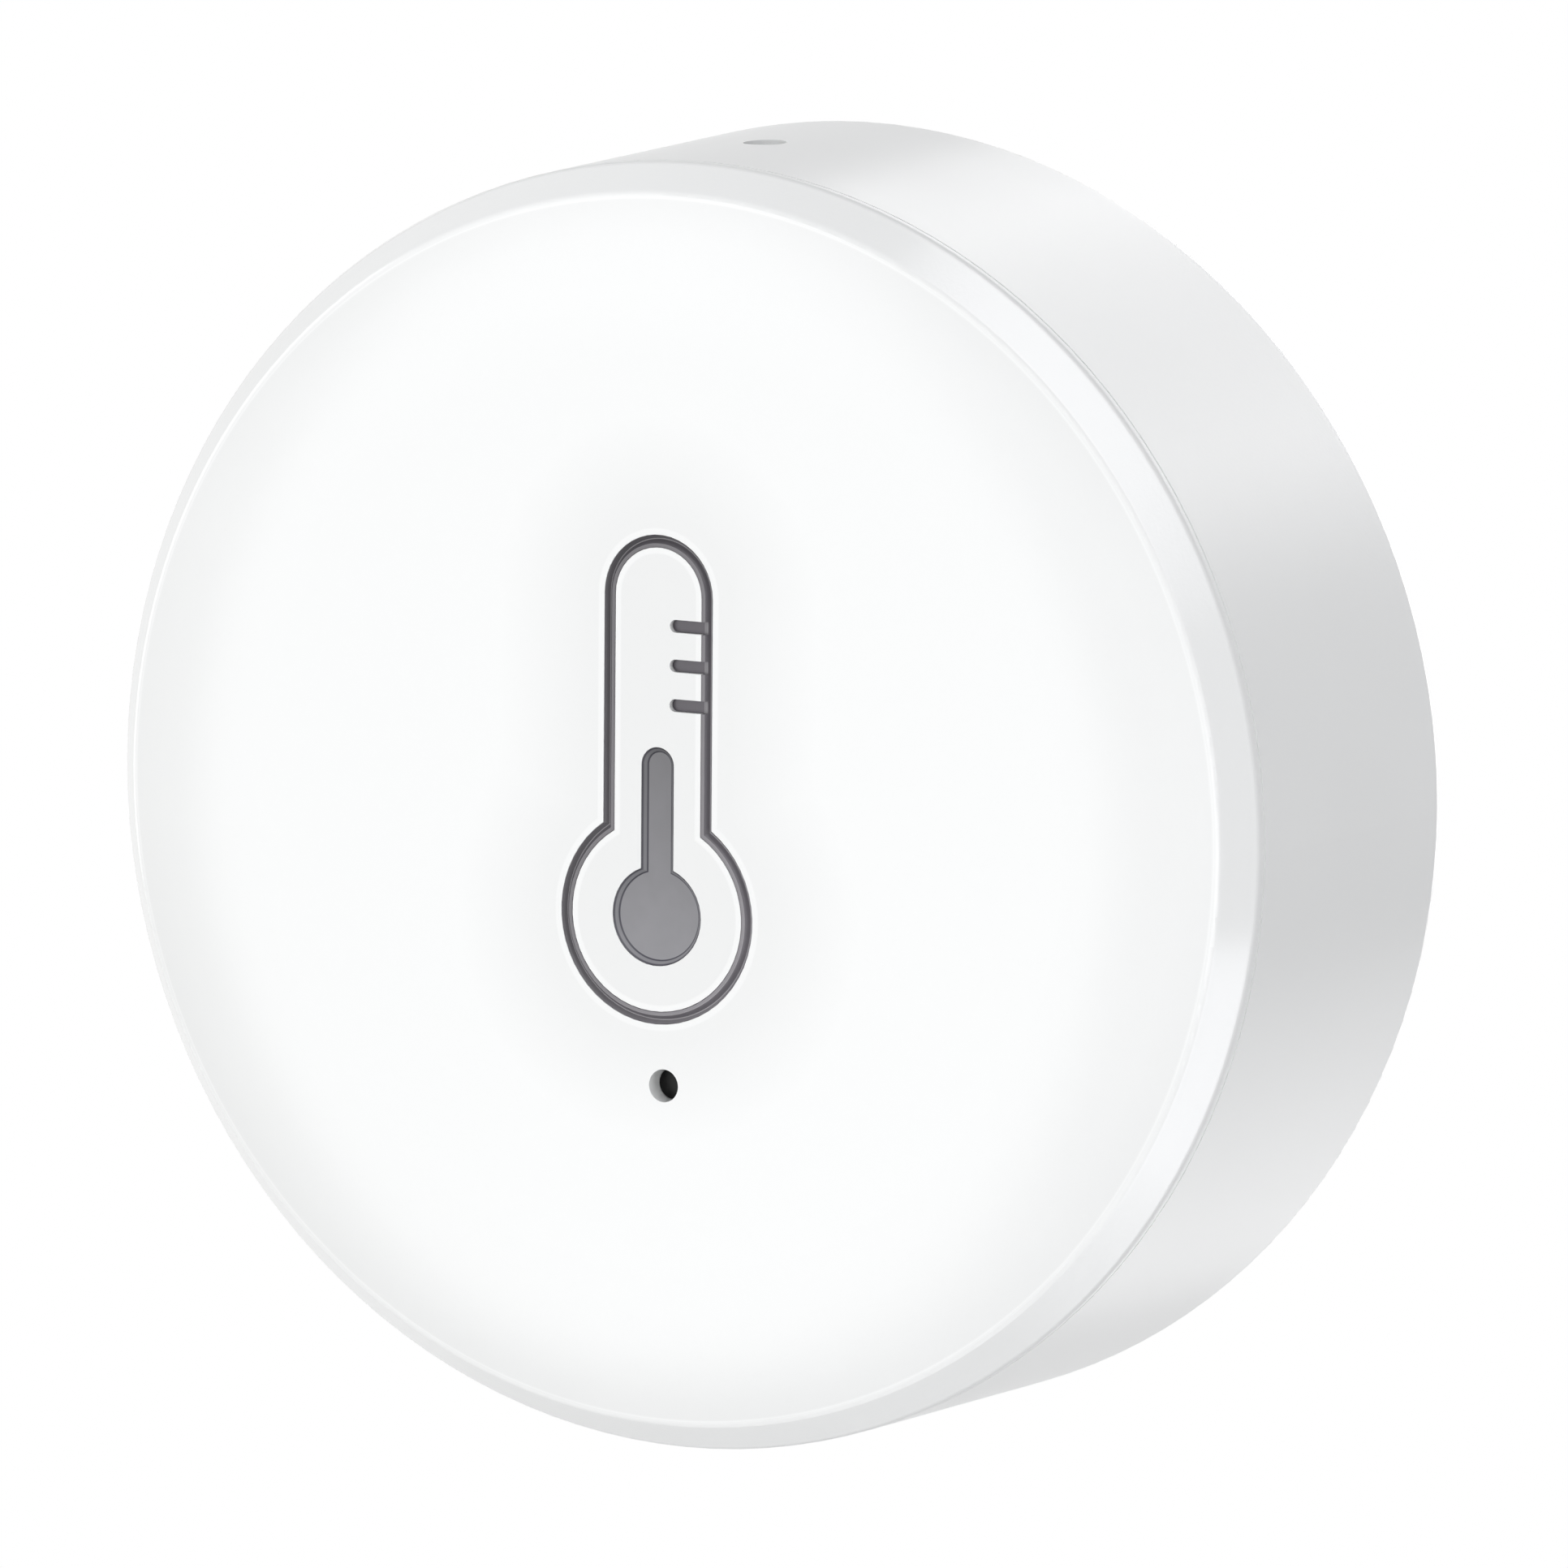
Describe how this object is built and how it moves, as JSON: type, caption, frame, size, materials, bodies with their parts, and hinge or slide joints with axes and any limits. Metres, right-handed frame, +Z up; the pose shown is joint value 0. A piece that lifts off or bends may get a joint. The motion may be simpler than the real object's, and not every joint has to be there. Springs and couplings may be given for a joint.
{
  "type": "temperature humidity sensor",
  "caption": "Round white wall sensor for room temperature and humidity, with a thermometer symbol on its face, that pulls off its wall plate.",
  "frame": {"origin": "centre of the adhesive pad's rear face, which lies on the wall", "axes": "+Z up the wall, +X to the right of someone who faces the sensor, +Y into the wall, so the front looks along -Y"},
  "size_m": [0.065, 0.0228, 0.065],
  "materials": {
    "shell_white": "satin",
    "plate_white": "fine grained",
    "inlay_dark": "satin",
    "inlay_mid": "satin",
    "pipe_smoked": "polished",
    "pad_foam": "soft foam",
    "frame_dark": "fine grained",
    "board_green": "solder mask",
    "screw_steel": "plated",
    "sheet_steel": "plated sheet",
    "spring_steel": "drawn wire",
    "chip_black": "moulded",
    "part_tan": "fired ceramic",
    "sensor_white": "moulded",
    "lens_clear": "clear cast",
    "plunger_plastic": "moulded",
    "cell_jacket": "printed film"
  },
  "bodies": {
    "mount": {"wall_plate": "plate_white", "adhesive_pad": "pad_foam"},
    "sensor": {"front_cover": "shell_white", "housing": "shell_white", "icon_outline": "inlay_dark", "icon_fluid": "inlay_mid", "light_pipe": "pipe_smoked", "chassis": "frame_dark", "main_board": "board_green", "board_screws": "screw_steel", "radio_board": "board_green", "radio_shield": "sheet_steel", "control_chip": "chip_black", "crystal": "sheet_steel", "chip_parts": "part_tan", "humidity_sensor": "sensor_white", "status_led": "lens_clear", "switch_body": "chip_black", "switch_bracket": "sheet_steel", "switch_cover": "sheet_steel", "switch_dome": "spring_steel", "upper_cell": "cell_jacket", "lower_cell": "cell_jacket", "positive_contact": "sheet_steel", "negative_contact": "sheet_steel", "negative_spring": "spring_steel", "bridge_contact": "sheet_steel", "bridge_spring": "spring_steel"},
    "button": {"switch_plunger": "plunger_plastic"}
  },
  "joints": [
    {"name": "pull_off", "type": "slide", "parent": "mount", "child": "sensor", "axis": [0, -1, 0], "range_m": [0, 0.03]},
    {"name": "reset_press", "type": "slide", "parent": "sensor", "child": "button", "axis": [0, 0, -1], "range_m": [0, 0.00025], "stiffness_N_per_m": 6400, "deforming": ["switch_dome"]}
  ]
}
